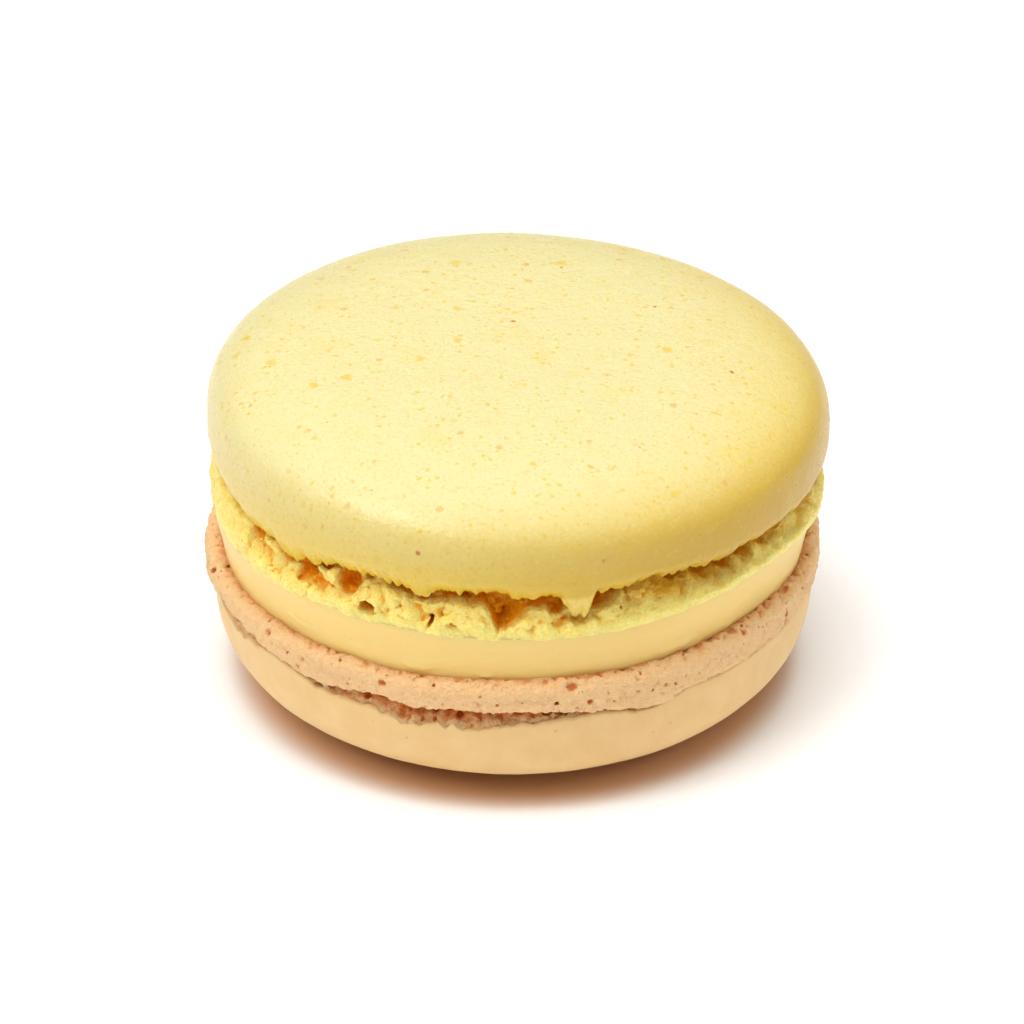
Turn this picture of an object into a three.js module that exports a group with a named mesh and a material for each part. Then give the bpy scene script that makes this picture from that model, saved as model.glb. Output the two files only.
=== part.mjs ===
// A french macaron: a lemon shell and a peach shell, each a smooth dome over a foamy foot,
// with a flat band of cream between the two feet.
//
// Units are millimetres and +Z is up. The origin is the middle of the small flat spot that
// the lower shell rests on. Azimuths are in degrees, from the front (-Y) towards the
// right (+X), so the left side is at -90 and the back at 180.

import * as THREE from "three";

// ---------------------------------------------------------------- driving dimensions

const DIAMETER = 46; // across the upper shell's widest ring
const LOWER_DOME_HEIGHT = 8.7; // from the ground to the crevice under the peach foot
const LOWER_FOOT_HEIGHT = 2.5;
const CREAM_HEIGHT = 3.7;
const UPPER_FOOT_HEIGHT = 3.7; // from the cream to the lip of the lemon dome
const UPPER_DOME_HEIGHT = 7.6; // from the lip to the top

const REST_FLAT_RADIUS = 9; // the flat spot under the lower dome
const LIP_TO_WIDEST = 1.75; // the widest ring lies this far above the lip
const LEAN_DEG = 1.3; // the lemon dome leans this far down to the right
const SIDE_SHIFT = 0.35; // and sits this far to the right
const LIP_SLANT = 0.25; // the lip is this much higher still on the left, and lower on the right

const LIP_TUCK = 0.95; // radius lost between the widest ring and the lip
const UPPER_FOOT_TUCK = 0.4; // the same for the foot's lower edge
const CREAM_TOP_TUCK = 0.6;
const CREAM_FOOT_TUCK = 1.3;
const CREAM_WAIST = 0.12; // how far the cream's side is hollowed
const LOWER_DOME_TUCK = 0.45;

const SHOULDER_ROUND = 4.5; // a dome's superellipse exponent along the radius
const SHOULDER_RISE = 3.2; // and along the height

const OUTLINE_SWAY = 0.15; // how uneven the round outline is
const UPPER_SWAY_SEED = 1.3;
const LOWER_SWAY_SEED = 4.1;

// The lemon lip: how thick and how ragged it is, and the stations of the dome's curl down
// to it, as [share of the way down, share of the tuck].
const LIP_THICKNESS = 0.5;
const LIP_RAGGEDNESS = 0.15;
const LIP_CURL = [
  [0.4, 0.13],
  [0.75, 0.5],
  [1, 1],
];

// The crags of the foam, as how far each kind stands out or in.
const COARSE_CRAG = 0.22;
const FINE_CRAG = 0.14;
const LEMON_EDGE_CRAG = 0.1;
const LEMON_EDGE_ROUND = 0.2;
const CREAM_RIPPLE = 0.12;
const PEACH_CRAG = 0.11;

// The peach foot is a rough roll: stations out from its top ledge and round to the
// crevice, as [share of the ledge beyond the cream's edge, share of the height].
const PEACH_ROLL = [
  [0.15, 0],
  [0.62, 0.12],
  [0.92, 0.36],
  [1, 0.64],
  [0.82, 0.9],
];

// ---------------------------------------------------------------- levels and radii

const RADIUS = DIAMETER / 2;
const CREVICE_Z = LOWER_DOME_HEIGHT;
const CREAM_FOOT_Z = CREVICE_Z + LOWER_FOOT_HEIGHT;
const CREAM_TOP_Z = CREAM_FOOT_Z + CREAM_HEIGHT;
const LIP_Z = CREAM_TOP_Z + UPPER_FOOT_HEIGHT;
const WIDEST_Z = LIP_Z + LIP_TO_WIDEST;
const TOP_Z = LIP_Z + UPPER_DOME_HEIGHT;

const LIP_RADIUS = RADIUS - LIP_TUCK;
const UPPER_FOOT_RADIUS = RADIUS - UPPER_FOOT_TUCK;
const CREAM_TOP_RADIUS = RADIUS - CREAM_TOP_TUCK;
const CREAM_FOOT_RADIUS = RADIUS - CREAM_FOOT_TUCK;
const LOWER_DOME_RADIUS = RADIUS - LOWER_DOME_TUCK;

// Segments round a ring: few near the poles, more where the foam has its crags.
const POLE_SEGMENTS = 25;
const DOME_SEGMENTS = 50;
const SHOULDER_SEGMENTS = 75;
const CREAM_SEGMENTS = 75;
const FOOT_SEGMENTS = 150;

// Rows from a pole to the widest ring, closer together towards the ring.
const UPPER_DOME_ROWS = 13;
const LOWER_DOME_ROWS = 14;
const ROW_CROWDING = 1.6;
const CREAM_ROWS = 6;
const LEMON_FOOT_ROWS = [0.1, 0.26, 0.43, 0.6, 0.78, 0.93]; // shares of the way down

// Caves in the lemon foot: where, half width in degrees, depth, and the share of the
// foot's height, counted down from the lip, at which each starts and ends.
const CAVES = [
  { at: -75, half: 4, depth: 0.7, from: 0, to: 0.35 },
  { at: -60, half: 3, depth: 1.1, from: 0, to: 0.4 },
  { at: -50, half: 3.5, depth: 1.0, from: 0, to: 0.35 },
  { at: -42, half: 4, depth: 1.9, from: 0, to: 0.5 },
  { at: -35, half: 2.5, depth: 1.5, from: 0.1, to: 0.65 },
  { at: -29, half: 2.5, depth: 1.3, from: 0.35, to: 0.75 },
  { at: -12, half: 5, depth: 1.2, from: 0, to: 0.25 },
  { at: -2, half: 4.5, depth: 3.2, from: 0, to: 0.85 },
  { at: 6, half: 5, depth: 2.8, from: 0, to: 0.5 },
  { at: 18, half: 4, depth: 2.2, from: 0, to: 0.5 },
  { at: 36, half: 6, depth: 1.9, from: 0, to: 0.5 },
  { at: 48, half: 4, depth: 1.7, from: 0, to: 0.6 },
  { at: 61, half: 3.5, depth: 1.4, from: 0, to: 0.55 },
  { at: 75, half: 4, depth: 1.2, from: 0, to: 0.5 },
];
const BACK_CAVES = 11; // more of them, spread by rule over the side that is turned away
const BACK_FROM = 92;
const BACK_TO = 278;

// Where the lip of the lemon dome hangs down over the foot.
const TONGUES = [
  { at: 12, half: 4, drop: 1.9 },
  { at: -40, half: 3, drop: 0.4 },
  { at: 29, half: 3, drop: 0.4 },
  { at: 130, half: 5, drop: 0.9 },
  { at: 214, half: 4, drop: 1.2 },
];

// Where the peach foot hangs lower over the crevice.
const SKIRTS = [
  { at: -86, half: 12, drop: 1.3 },
  { at: -20, half: 8, drop: 0.3 },
  { at: 160, half: 14, drop: 0.7 },
];
const SKIRT_REACH = 3.5; // the dome makes room for the skirts down to here
const CREVICE_DEPTH = 1.15;
const CREVICE_FLOOR_DROP = 0.4; // the crevice is this high at its mouth
const CREVICE_FLOOR_TUCK = 0.05; // and its floor starts this far inside the dome's edge
const CREVICE_FLOOR_SHARE = 0.9; // and is this share of its depth deep
const CREVICE_OPENNESS = 0.8;
const CREVICE_UNEVENNESS = 0.25;
const SKIRT_RAGGEDNESS = 0.12;
const CREVICE_CLOSED_AT = 105; // the crevice is nearly shut round this azimuth
const CREVICE_CLOSED_HALF = 45;

// ---------------------------------------------------------------- helpers

const radians = THREE.MathUtils.degToRad;

/** The shortest way from one azimuth to another, -180 to 180 degrees. */
function turnBetween(from, to) {
  return THREE.MathUtils.euclideanModulo(to - from + 180, 360) - 180;
}

/** A smooth bump, 1 at its middle and 0 from half a width away. */
function bump(azimuth, middle, half) {
  const t = Math.abs(turnBetween(middle, azimuth)) / half;
  return t >= 1 ? 0 : (1 - t * t) ** 2;
}

/** A fixed value from 0 to 1 for a cell of a grid. */
function cellValue(column, row, seed) {
  const wave = Math.sin(column * 127.1 + row * 311.7 + seed * 74.7) * 43758.5453;
  return wave - Math.floor(wave);
}

/** Smooth lumps from -1 to 1: `around` of them fit round the macaron. */
function lumps(azimuth, level, around, seed) {
  const place = (THREE.MathUtils.euclideanModulo(azimuth, 360) / 360) * around;
  const column = Math.floor(place);
  const row = Math.floor(level);
  const across = THREE.MathUtils.smoothstep(place - column, 0, 1);
  const up = THREE.MathUtils.smoothstep(level - row, 0, 1);
  const at = (c, r) => cellValue((column + c) % around, row + r, seed);
  const low = THREE.MathUtils.lerp(at(0, 0), at(1, 0), across);
  const high = THREE.MathUtils.lerp(at(0, 1), at(1, 1), across);
  return 2 * THREE.MathUtils.lerp(low, high, up) - 1;
}

/** How far the round outline strays from a circle at this azimuth. */
function outline(azimuth, seed) {
  const a = radians(azimuth);
  const wander = Math.sin(2 * a + seed) + 0.5 * Math.sin(3 * a + 2 * seed) - 1.5;
  return (OUTLINE_SWAY / 3) * wander;
}

/** The radius and height of a dome at t, from 0 at its pole to 1 at its widest ring. */
function domeProfile(t, radius, height) {
  const angle = (t * Math.PI) / 2;
  return {
    radius: radius * Math.sin(angle) ** (2 / SHOULDER_ROUND),
    height: height * Math.cos(angle) ** (2 / SHOULDER_RISE),
  };
}

/** A ring of `count` points, each at {radius, z} given by shape(azimuth). */
function ring(count, shape) {
  const points = [];
  for (let i = 0; i < count; i += 1) {
    const azimuth = (360 * i) / count;
    const { radius, z } = shape(azimuth);
    const a = radians(azimuth);
    points.push(new THREE.Vector3(radius * Math.sin(a), -radius * Math.cos(a), z));
  }
  return points;
}

/** A closed solid through rings, from the top pole down and back to the bottom pole. */
function solidOfRings(topZ, rings, bottomZ) {
  const points = [new THREE.Vector3(0, 0, topZ)];
  const faces = [];
  let above = { first: 0, count: 1 };
  for (const each of rings) {
    const below = { first: points.length, count: each.length };
    points.push(...each);
    joinRings(faces, above, below);
    above = below;
  }
  const pole = { first: points.length, count: 1 };
  points.push(new THREE.Vector3(0, 0, bottomZ));
  joinRings(faces, above, pole);

  const geometry = new THREE.BufferGeometry().setFromPoints(points);
  geometry.setIndex(faces);
  geometry.computeVertexNormals();
  return geometry;
}

/** Zips two rings together, whatever their counts; a pole is a ring of one point. */
function joinRings(faces, above, below) {
  let a = 0;
  let b = 0;
  const upper = (i) => above.first + (i % above.count);
  const lower = (i) => below.first + (i % below.count);
  const upperSteps = above.count > 1 ? above.count : 0;
  const lowerSteps = below.count > 1 ? below.count : 0;
  while (a < upperSteps || b < lowerSteps) {
    const nextUpper = a < upperSteps ? (a + 1) / upperSteps : Infinity;
    const nextLower = b < lowerSteps ? (b + 1) / lowerSteps : Infinity;
    if (nextLower <= nextUpper) {
      faces.push(upper(a), lower(b), lower(b + 1));
      b += 1;
    } else {
      faces.push(upper(a), lower(b), upper(a + 1));
      a += 1;
    }
  }
}

/** A material in the colour of one of the macaron's doughs. */
function dough(color, roughness) {
  return new THREE.MeshStandardMaterial({ color, roughness, metalness: 0 });
}

// ---------------------------------------------------------------- the lemon shell

/** All caves, those of the far side placed by rule. */
function allCaves() {
  const caves = [...CAVES];
  for (let i = 0; i < BACK_CAVES; i += 1) {
    const chance = cellValue(i, 3, 5);
    caves.push({
      at: BACK_FROM + ((BACK_TO - BACK_FROM) * (i + 0.6 * chance)) / BACK_CAVES,
      half: 3 + 3.5 * cellValue(i, 4, 5),
      depth: 1 + 1.6 * chance,
      from: 0,
      to: 0.35 + 0.35 * cellValue(i, 5, 5),
    });
  }
  return caves;
}

const UPPER_CAVES = allCaves();

/** How deep the foam is hollowed at this azimuth and share of the foot's height. */
function caveDepth(azimuth, share) {
  let deepest = 0;
  for (const cave of UPPER_CAVES) {
    const middle = (cave.from + cave.to) / 2;
    const half = (cave.to - cave.from) / 2;
    const t = cave.from === 0 && share < middle ? 0 : Math.abs(share - middle) / half;
    const up = t >= 1 ? 0 : 1 - t ** 4;
    deepest = Math.max(deepest, cave.depth * bump(azimuth, cave.at, cave.half) ** 0.5 * up);
  }
  return deepest;
}

/** The height of the lemon dome's ragged lip. */
function lipHeight(azimuth) {
  const ragged = LIP_RAGGEDNESS * lumps(azimuth, 0.5, 50, 2);
  let z = LIP_Z + ragged - LIP_SLANT * Math.sin(radians(azimuth));
  for (const tongue of TONGUES) z -= tongue.drop * bump(azimuth, tongue.at, tongue.half);
  return z;
}

/** The lean and side shift of the lemon dome, worked into a ring's shape. */
function leaned(shape, share) {
  return (azimuth) => {
    const { radius, z } = shape(azimuth);
    const across = Math.sin(radians(azimuth));
    const drop = Math.tan(radians(LEAN_DEG)) * radius * across;
    return { radius: radius + share * SIDE_SHIFT * across, z: z - share * drop };
  };
}

function upperShell() {
  const rings = [];

  for (let i = 1; i <= UPPER_DOME_ROWS; i += 1) {
    const t = 1 - (1 - i / UPPER_DOME_ROWS) ** ROW_CROWDING;
    const { radius, height } = domeProfile(t, RADIUS, TOP_Z - WIDEST_Z);
    const share = radius / RADIUS;
    const count = i < 3 ? POLE_SEGMENTS : i < 9 ? DOME_SEGMENTS : SHOULDER_SEGMENTS;
    const shape = (azimuth) => ({
      radius: radius + share * outline(azimuth, UPPER_SWAY_SEED),
      z: WIDEST_Z + height,
    });
    rings.push(ring(count, leaned(shape, 1)));
  }

  // The dome curls under to its lip, and the lip's own underside turns in to the foam.
  for (const [down, tuck] of LIP_CURL) {
    const count = down < 0.7 ? SHOULDER_SEGMENTS : FOOT_SEGMENTS;
    const shape = (azimuth) => ({
      radius: RADIUS - LIP_TUCK * tuck + outline(azimuth, UPPER_SWAY_SEED),
      z: WIDEST_Z + (lipHeight(azimuth) - WIDEST_Z) * down,
    });
    rings.push(ring(count, leaned(shape, 1)));
  }
  const underLip = (azimuth) => ({
    radius: LIP_RADIUS - LIP_THICKNESS - 0.5 * caveDepth(azimuth, 0),
    z: lipHeight(azimuth),
  });
  rings.push(ring(FOOT_SEGMENTS, leaned(underLip, 1)));

  // The foam foot, from the lip down to the cream.
  const waist = LIP_RADIUS - LIP_THICKNESS * 0.7;
  for (const share of LEMON_FOOT_ROWS) {
    const flare = THREE.MathUtils.smoothstep(share, 0, 0.9);
    const shape = (azimuth) => {
      const coarse = COARSE_CRAG * lumps(azimuth, share * 3, 45, 7);
      const fine = FINE_CRAG * lumps(azimuth, share * 5, 90, 8);
      const radius = THREE.MathUtils.lerp(waist, UPPER_FOOT_RADIUS, flare);
      return {
        radius: radius + (coarse + fine) * (0.4 + 0.6 * flare) - caveDepth(azimuth, share),
        z: THREE.MathUtils.lerp(lipHeight(azimuth), CREAM_TOP_Z, share),
      };
    };
    rings.push(ring(FOOT_SEGMENTS, leaned(shape, 1 - share)));
  }
  const edge = (azimuth) => ({
    radius: UPPER_FOOT_RADIUS - LEMON_EDGE_ROUND + LEMON_EDGE_CRAG * lumps(azimuth, 0.5, 60, 9),
    z: CREAM_TOP_Z,
  });
  rings.push(ring(FOOT_SEGMENTS, edge));
  rings.push(ring(POLE_SEGMENTS, () => ({ radius: RADIUS / 2, z: CREAM_TOP_Z })));

  return solidOfRings(TOP_Z, rings, CREAM_TOP_Z);
}

// ---------------------------------------------------------------- the cream

function creamBand() {
  const rings = [];
  rings.push(ring(POLE_SEGMENTS, () => ({ radius: RADIUS / 2, z: CREAM_TOP_Z })));
  for (let i = 0; i <= CREAM_ROWS; i += 1) {
    const down = i / CREAM_ROWS;
    const radius = THREE.MathUtils.lerp(CREAM_TOP_RADIUS, CREAM_FOOT_RADIUS, down ** 1.3);
    const waist = CREAM_WAIST * Math.sin(Math.PI * down);
    const shape = (azimuth) => ({
      radius: radius - waist + CREAM_RIPPLE * lumps(azimuth, down * 1.5, 15, 11),
      z: CREAM_TOP_Z - CREAM_HEIGHT * down,
    });
    rings.push(ring(CREAM_SEGMENTS, shape));
  }
  rings.push(ring(POLE_SEGMENTS, () => ({ radius: RADIUS / 2, z: CREAM_FOOT_Z })));
  return solidOfRings(CREAM_TOP_Z, rings, CREAM_FOOT_Z);
}

// ---------------------------------------------------------------- the peach shell

/** How open the crevice between the peach foot and its dome is, 0 to 1. */
function creviceOpen(azimuth) {
  const shut = bump(azimuth, CREVICE_CLOSED_AT, CREVICE_CLOSED_HALF);
  const uneven = CREVICE_UNEVENNESS * lumps(azimuth, 0.5, 40, 13);
  return THREE.MathUtils.clamp(CREVICE_OPENNESS * (1 - shut) + uneven, 0.1, 1);
}

/** How far the peach foot hangs below its usual level. */
function skirtDrop(azimuth) {
  let drop = SKIRT_RAGGEDNESS * lumps(azimuth, 0.5, 60, 14);
  for (const skirt of SKIRTS) drop += skirt.drop * bump(azimuth, skirt.at, skirt.half);
  return drop;
}

function lowerShell() {
  const rings = [];
  rings.push(ring(POLE_SEGMENTS, () => ({ radius: RADIUS / 2, z: CREAM_FOOT_Z })));

  // The foot, from its top ledge round to the crevice.
  const ledge = RADIUS - CREAM_FOOT_RADIUS;
  for (const [out, down] of PEACH_ROLL) {
    const rough = down === 0 ? 0 : PEACH_CRAG;
    const shape = (azimuth) => {
      const foam =
        rough * lumps(azimuth, down * 3, 75, 15) + 0.6 * rough * lumps(azimuth, 3.5, 37, 16);
      return {
        radius: CREAM_FOOT_RADIUS + ledge * out + foam - rough,
        z: CREAM_FOOT_Z - down * LOWER_FOOT_HEIGHT - down * skirtDrop(azimuth),
      };
    };
    rings.push(ring(FOOT_SEGMENTS, shape));
  }

  const crevice = (azimuth) => ({
    radius: LOWER_DOME_RADIUS - CREVICE_DEPTH * creviceOpen(azimuth),
    z: CREVICE_Z - skirtDrop(azimuth),
  });
  rings.push(ring(FOOT_SEGMENTS, crevice));
  const floorRadius = LOWER_DOME_RADIUS - CREVICE_FLOOR_TUCK;
  const floorDepth = CREVICE_FLOOR_SHARE * CREVICE_DEPTH;
  const creviceFloor = (azimuth) => ({
    radius: floorRadius - floorDepth * creviceOpen(azimuth),
    z: CREVICE_Z - CREVICE_FLOOR_DROP - skirtDrop(azimuth),
  });
  rings.push(ring(FOOT_SEGMENTS, creviceFloor));

  // The smooth dome below, down to the flat spot that it rests on.
  for (let i = 1; i < LOWER_DOME_ROWS; i += 1) {
    const t = 1 - (i / LOWER_DOME_ROWS) ** ROW_CROWDING;
    const { radius, height } = domeProfile(t, LOWER_DOME_RADIUS, LOWER_DOME_HEIGHT);
    if (radius < REST_FLAT_RADIUS + 2) break;
    const share = radius / LOWER_DOME_RADIUS;
    const followsSkirt = Math.max(0, 1 - height / SKIRT_REACH);
    const count = i < 7 ? SHOULDER_SEGMENTS : DOME_SEGMENTS;
    const shape = (azimuth) => ({
      radius: radius + share * outline(azimuth, LOWER_SWAY_SEED),
      z: LOWER_DOME_HEIGHT - height - skirtDrop(azimuth) * followsSkirt,
    });
    rings.push(ring(count, shape));
  }
  rings.push(ring(POLE_SEGMENTS, () => ({ radius: REST_FLAT_RADIUS, z: 0 })));
  return solidOfRings(CREAM_FOOT_Z, rings, 0);
}

// ---------------------------------------------------------------- the macaron

const macaron = new THREE.Group();

function addPiece(name, geometry, material) {
  const mesh = new THREE.Mesh(geometry, material);
  mesh.name = name;
  macaron.add(mesh);
}

addPiece("upper_shell", upperShell(), dough(0xf6e490, 0.6));
addPiece("cream", creamBand(), dough(0xefcf81, 0.45));
addPiece("lower_shell", lowerShell(), dough(0xebc086, 0.75));

export default macaron;
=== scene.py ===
"""A french macaron: lemon shell, cream and peach shell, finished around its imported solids.

Lengths inside the node trees are in millimetres, and the finished meshes are in metres.
Azimuths are in degrees from the front (-Y) towards the right (+X).
"""

import math

import bpy
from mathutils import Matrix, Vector


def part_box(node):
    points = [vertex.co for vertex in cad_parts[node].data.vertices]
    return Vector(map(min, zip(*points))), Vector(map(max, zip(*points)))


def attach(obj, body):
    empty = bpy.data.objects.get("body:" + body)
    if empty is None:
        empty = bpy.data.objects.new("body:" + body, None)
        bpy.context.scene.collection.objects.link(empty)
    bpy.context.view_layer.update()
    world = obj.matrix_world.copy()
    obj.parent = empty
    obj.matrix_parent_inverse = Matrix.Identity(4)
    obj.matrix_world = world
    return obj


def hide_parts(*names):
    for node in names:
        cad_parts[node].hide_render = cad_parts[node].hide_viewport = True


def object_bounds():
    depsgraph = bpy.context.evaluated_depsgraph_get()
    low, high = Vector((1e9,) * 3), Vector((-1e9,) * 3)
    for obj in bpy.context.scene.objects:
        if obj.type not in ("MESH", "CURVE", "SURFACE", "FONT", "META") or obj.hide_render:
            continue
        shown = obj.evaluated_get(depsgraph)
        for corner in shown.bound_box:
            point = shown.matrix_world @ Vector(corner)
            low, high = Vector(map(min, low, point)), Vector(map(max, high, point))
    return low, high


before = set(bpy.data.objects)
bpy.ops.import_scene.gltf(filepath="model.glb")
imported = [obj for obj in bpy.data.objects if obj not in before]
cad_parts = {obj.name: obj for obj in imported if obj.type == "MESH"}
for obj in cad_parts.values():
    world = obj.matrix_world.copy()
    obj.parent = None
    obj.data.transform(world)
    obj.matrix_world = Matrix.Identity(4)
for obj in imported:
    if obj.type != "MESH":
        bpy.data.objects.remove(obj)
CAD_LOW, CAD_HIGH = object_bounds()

bl_info = {
    "name": "French Macaron",
    "version": (1, 0, 0),
    "blender": (4, 5, 0),
    "location": "View3D > Sidebar > Macaron",
    "description": "Builds a macaron of two baked almond shells with cream between them",
    "category": "Add Mesh",
}

# -------------------- sizes from the frame

MM = 0.001
BODY = "root"


def levels_of(node):
    """A solid's lowest and highest level, in millimetres."""
    low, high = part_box(node)
    return low.z / MM, high.z / MM


CREAM_FOOT_Z, CREAM_TOP_Z = levels_of("cream")
RADIUS = (CAD_HIGH.y - CAD_LOW.y) / 2 / MM

# The same layers as in the solids, as the heights between them.
LOWER_FOOT_HEIGHT = 2.5
UPPER_FOOT_HEIGHT = 3.7
LIP_TO_WIDEST = 1.75
UPPER_DOME_HEIGHT = 7.6

CREVICE_Z = CREAM_FOOT_Z - LOWER_FOOT_HEIGHT
LIP_Z = CREAM_TOP_Z + UPPER_FOOT_HEIGHT
WIDEST_Z = LIP_Z + LIP_TO_WIDEST
TOP_RISE = UPPER_DOME_HEIGHT - LIP_TO_WIDEST
TOP_Z = WIDEST_Z + TOP_RISE

# -------------------- forms of the foam

# Caves in the lemon foam: azimuth, half width in degrees, depth and height in
# millimetres, and how far below the lip the middle lies.
CAVES = [
    (-75, 2.0, 0.8, 0.5, 0.3),
    (-57, 2.1, 1.5, 0.6, 0.6),
    (-48.4, 2.2, 1.3, 0.45, 0.15),
    (-41.9, 2.4, 2.0, 0.9, 0.6),
    (-37.2, 1.2, 1.6, 0.5, 0.2),
    (-32.3, 2.0, 2.0, 1.1, 0.6),
    (-27, 2.1, 1.7, 0.6, 2.3),
    (-21.8, 1.8, 1.5, 0.45, 0.2),
    (-15, 0.5, 0.8, 0.3, 2.4),
    (24.5, 0.8, 0.8, 0.35, 1.6),
    (98, 4.5, 1.6, 1.0, 0.4),
    (116, 3.0, 2.0, 1.4, 0.6),
    (137, 5.0, 1.5, 0.9, 0.3),
    (152, 3.0, 1.9, 1.2, 0.6),
    (169, 3.5, 1.4, 1.0, 0.3),
    (-168, 3.0, 1.8, 1.2, 0.5),
    (-149, 4.0, 2.0, 1.0, 0.2),
    (-129, 2.4, 1.4, 1.2, 0.8),
    (-112, 3.0, 1.6, 0.9, 0.2),
    (-94, 2.5, 1.2, 0.8, 0.3),
]

# The torn top of the lemon foam: azimuth, and how far it lies below the lip.
CREST = [
    (-180, 0.4), (-172, 1.1), (-163, 0.3), (-155, 0.9), (-140, 0.2), (-133, 1.3), (-121, 0.3),
    (-104, 0.7), (-88, 0.1), (-62, 0.25), (-42, 0.3), (-25, 0.15), (-22, 0.6), (-18, 0.8),
    (-13.1, 1.0), (-11, 0.75), (-8.6, 1.0), (-5, 1.05), (-3.9, 2.0), (-3.1, 3.1), (-1.2, 2.7),
    (0.7, 2.1), (2.8, 1.35), (6.1, 1.0), (7.3, 2.1), (9.7, 1.55), (10.9, 1.7), (12.6, 2.4),
    (16.8, 1.7), (20.7, 0.9), (25, 0.2), (29, 0.3), (30.6, 1.5), (34.5, 1.4), (35.3, 0.7),
    (37, 1.7), (40.5, 1.5), (41.4, 0.6), (43, 2.0), (45.6, 2.2), (46.5, 0.9), (48, 2.0),
    (51, 1.7), (52, 0.7), (54, 1.7), (57.5, 1.4), (58.5, 0.6), (60, 1.6), (63, 1.2), (64, 0.4),
    (66, 1.3), (69, 0.9), (71, 0.3), (75, 1.3), (80, 1.5), (86, 1.1), (93, 0.4), (106, 1.2),
    (124, 0.3), (143, 1.4), (160, 0.3), (174, 0.9), (180, 0.4),
]

# Levels that vary round the macaron: azimuth, and how far a line lies above its level.
LIP_LINE = [
    (-180, 0.1), (-120, -0.1), (-72, -0.15), (-62, -0.55), (-54, -0.55), (-49, -0.85),
    (-46, -1.3), (-43.5, -1.1), (-41, -0.55), (-36, -0.25), (-26, 0.08), (-22, -0.05),
    (-17, -0.35), (-13.5, 0.05), (-6, 0.1), (7, 0.0), (15, 0.2), (19.4, -0.05), (23, 0.27),
    (26, 0.36), (29.5, 0.14), (33.6, 0.35), (37, 0.1), (41, -0.4), (44, 0.1), (51, 0.1),
    (58, -0.2), (64, -0.15), (70, 0.2), (110, 0.3), (180, 0.1),
]
CREAM_TOP_LINE = [
    (-180, 0.3), (-90, 0.1), (-50, 0.25), (-38, 0.55), (-10, 0.45), (12, 0.42), (28, 0.7),
    (46, 1.0), (57, 1.0), (76, 0.3), (180, 0.3),
]
CREAM_FOOT_LINE = [
    (-180, 0.2), (-90, -0.1), (-68, -0.1), (-48, 0.2), (-15, 0.25), (3, 0.5), (28, 0.45),
    (48, 0.8), (58, 0.7), (72, 0.2), (180, 0.2),
]

# Torn flaps that hang from the lip: azimuth, half widths towards the left and the
# right in degrees, and drop.
TONGUES = [
    (12.2, 4.6, 2.7, 2.2),
    (130, 5.0, 3.5, 0.9),
    (-146, 4.0, 4.0, 1.2),
]
TIP_SHARE = 0.25  # how much of its half width a flap keeps at its tip

# Blisters on the lemon dome: azimuth, level, radius and height.
BLISTERS = [
    (-84, 19.7, 0.8, 0.45),
    (91, 19.7, 0.45, 0.3),
    (-150, 22.0, 0.8, 0.25),
]

# Smears of cream that stand out: azimuth, level, half width in degrees, half height
# and thickness.
SMEARS = [
    (-44, 12.5, 4.0, 0.45, 0.12),
    (-18, 12.0, 3.0, 0.4, 0.14),
    (-5, 11.75, 2.0, 0.3, 0.16),
    (31, 12.4, 5.0, 0.6, 0.1),
    (112, 12.0, 5.0, 0.7, 0.25),
    (-157, 11.8, 7.0, 0.6, 0.25),
]

# Where the peach foam hangs lower over the crevice: azimuth, half width in degrees and
# drop.
SKIRTS = [
    (-86, 12.0, 1.3),
    (-38, 11.0, 0.5),
    (-18, 7.0, 0.3),
    (25, 10.0, 0.8),
    (160, 14.0, 0.7),
]


def tint(red, green, blue):
    """A screen colour from 0 to 255 as the linear colour that a shader takes."""

    def linear(value):
        share = value / 255
        return share / 12.92 if share <= 0.04045 else ((share + 0.055) / 1.055) ** 2.4

    return linear(red), linear(green), linear(blue)


# -------------------- what a user can change


class MacaronSizes(bpy.types.PropertyGroup):
    """Sizes of the macaron's forms, in millimetres."""

    radius: bpy.props.FloatProperty(
        name="Radius", description="Half the width of the shells", default=RADIUS
    )
    lean: bpy.props.FloatProperty(
        name="Lean",
        description="How far the lemon dome leans down to the right",
        default=math.radians(1.3),
        subtype="ANGLE",
    )
    side_shift: bpy.props.FloatProperty(
        name="Side Shift",
        description="How far the lemon dome sits to the right",
        default=0.35,
    )
    around: bpy.props.IntProperty(
        name="Faces Around", description="Faces round each dome", default=960
    )
    foam_step: bpy.props.FloatProperty(
        name="Foam Step", description="Size of the foam's finest cell", default=0.1
    )
    foam_faces: bpy.props.IntProperty(
        name="Foam Triangles", description="Most triangles in one foam", default=190000
    )


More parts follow.
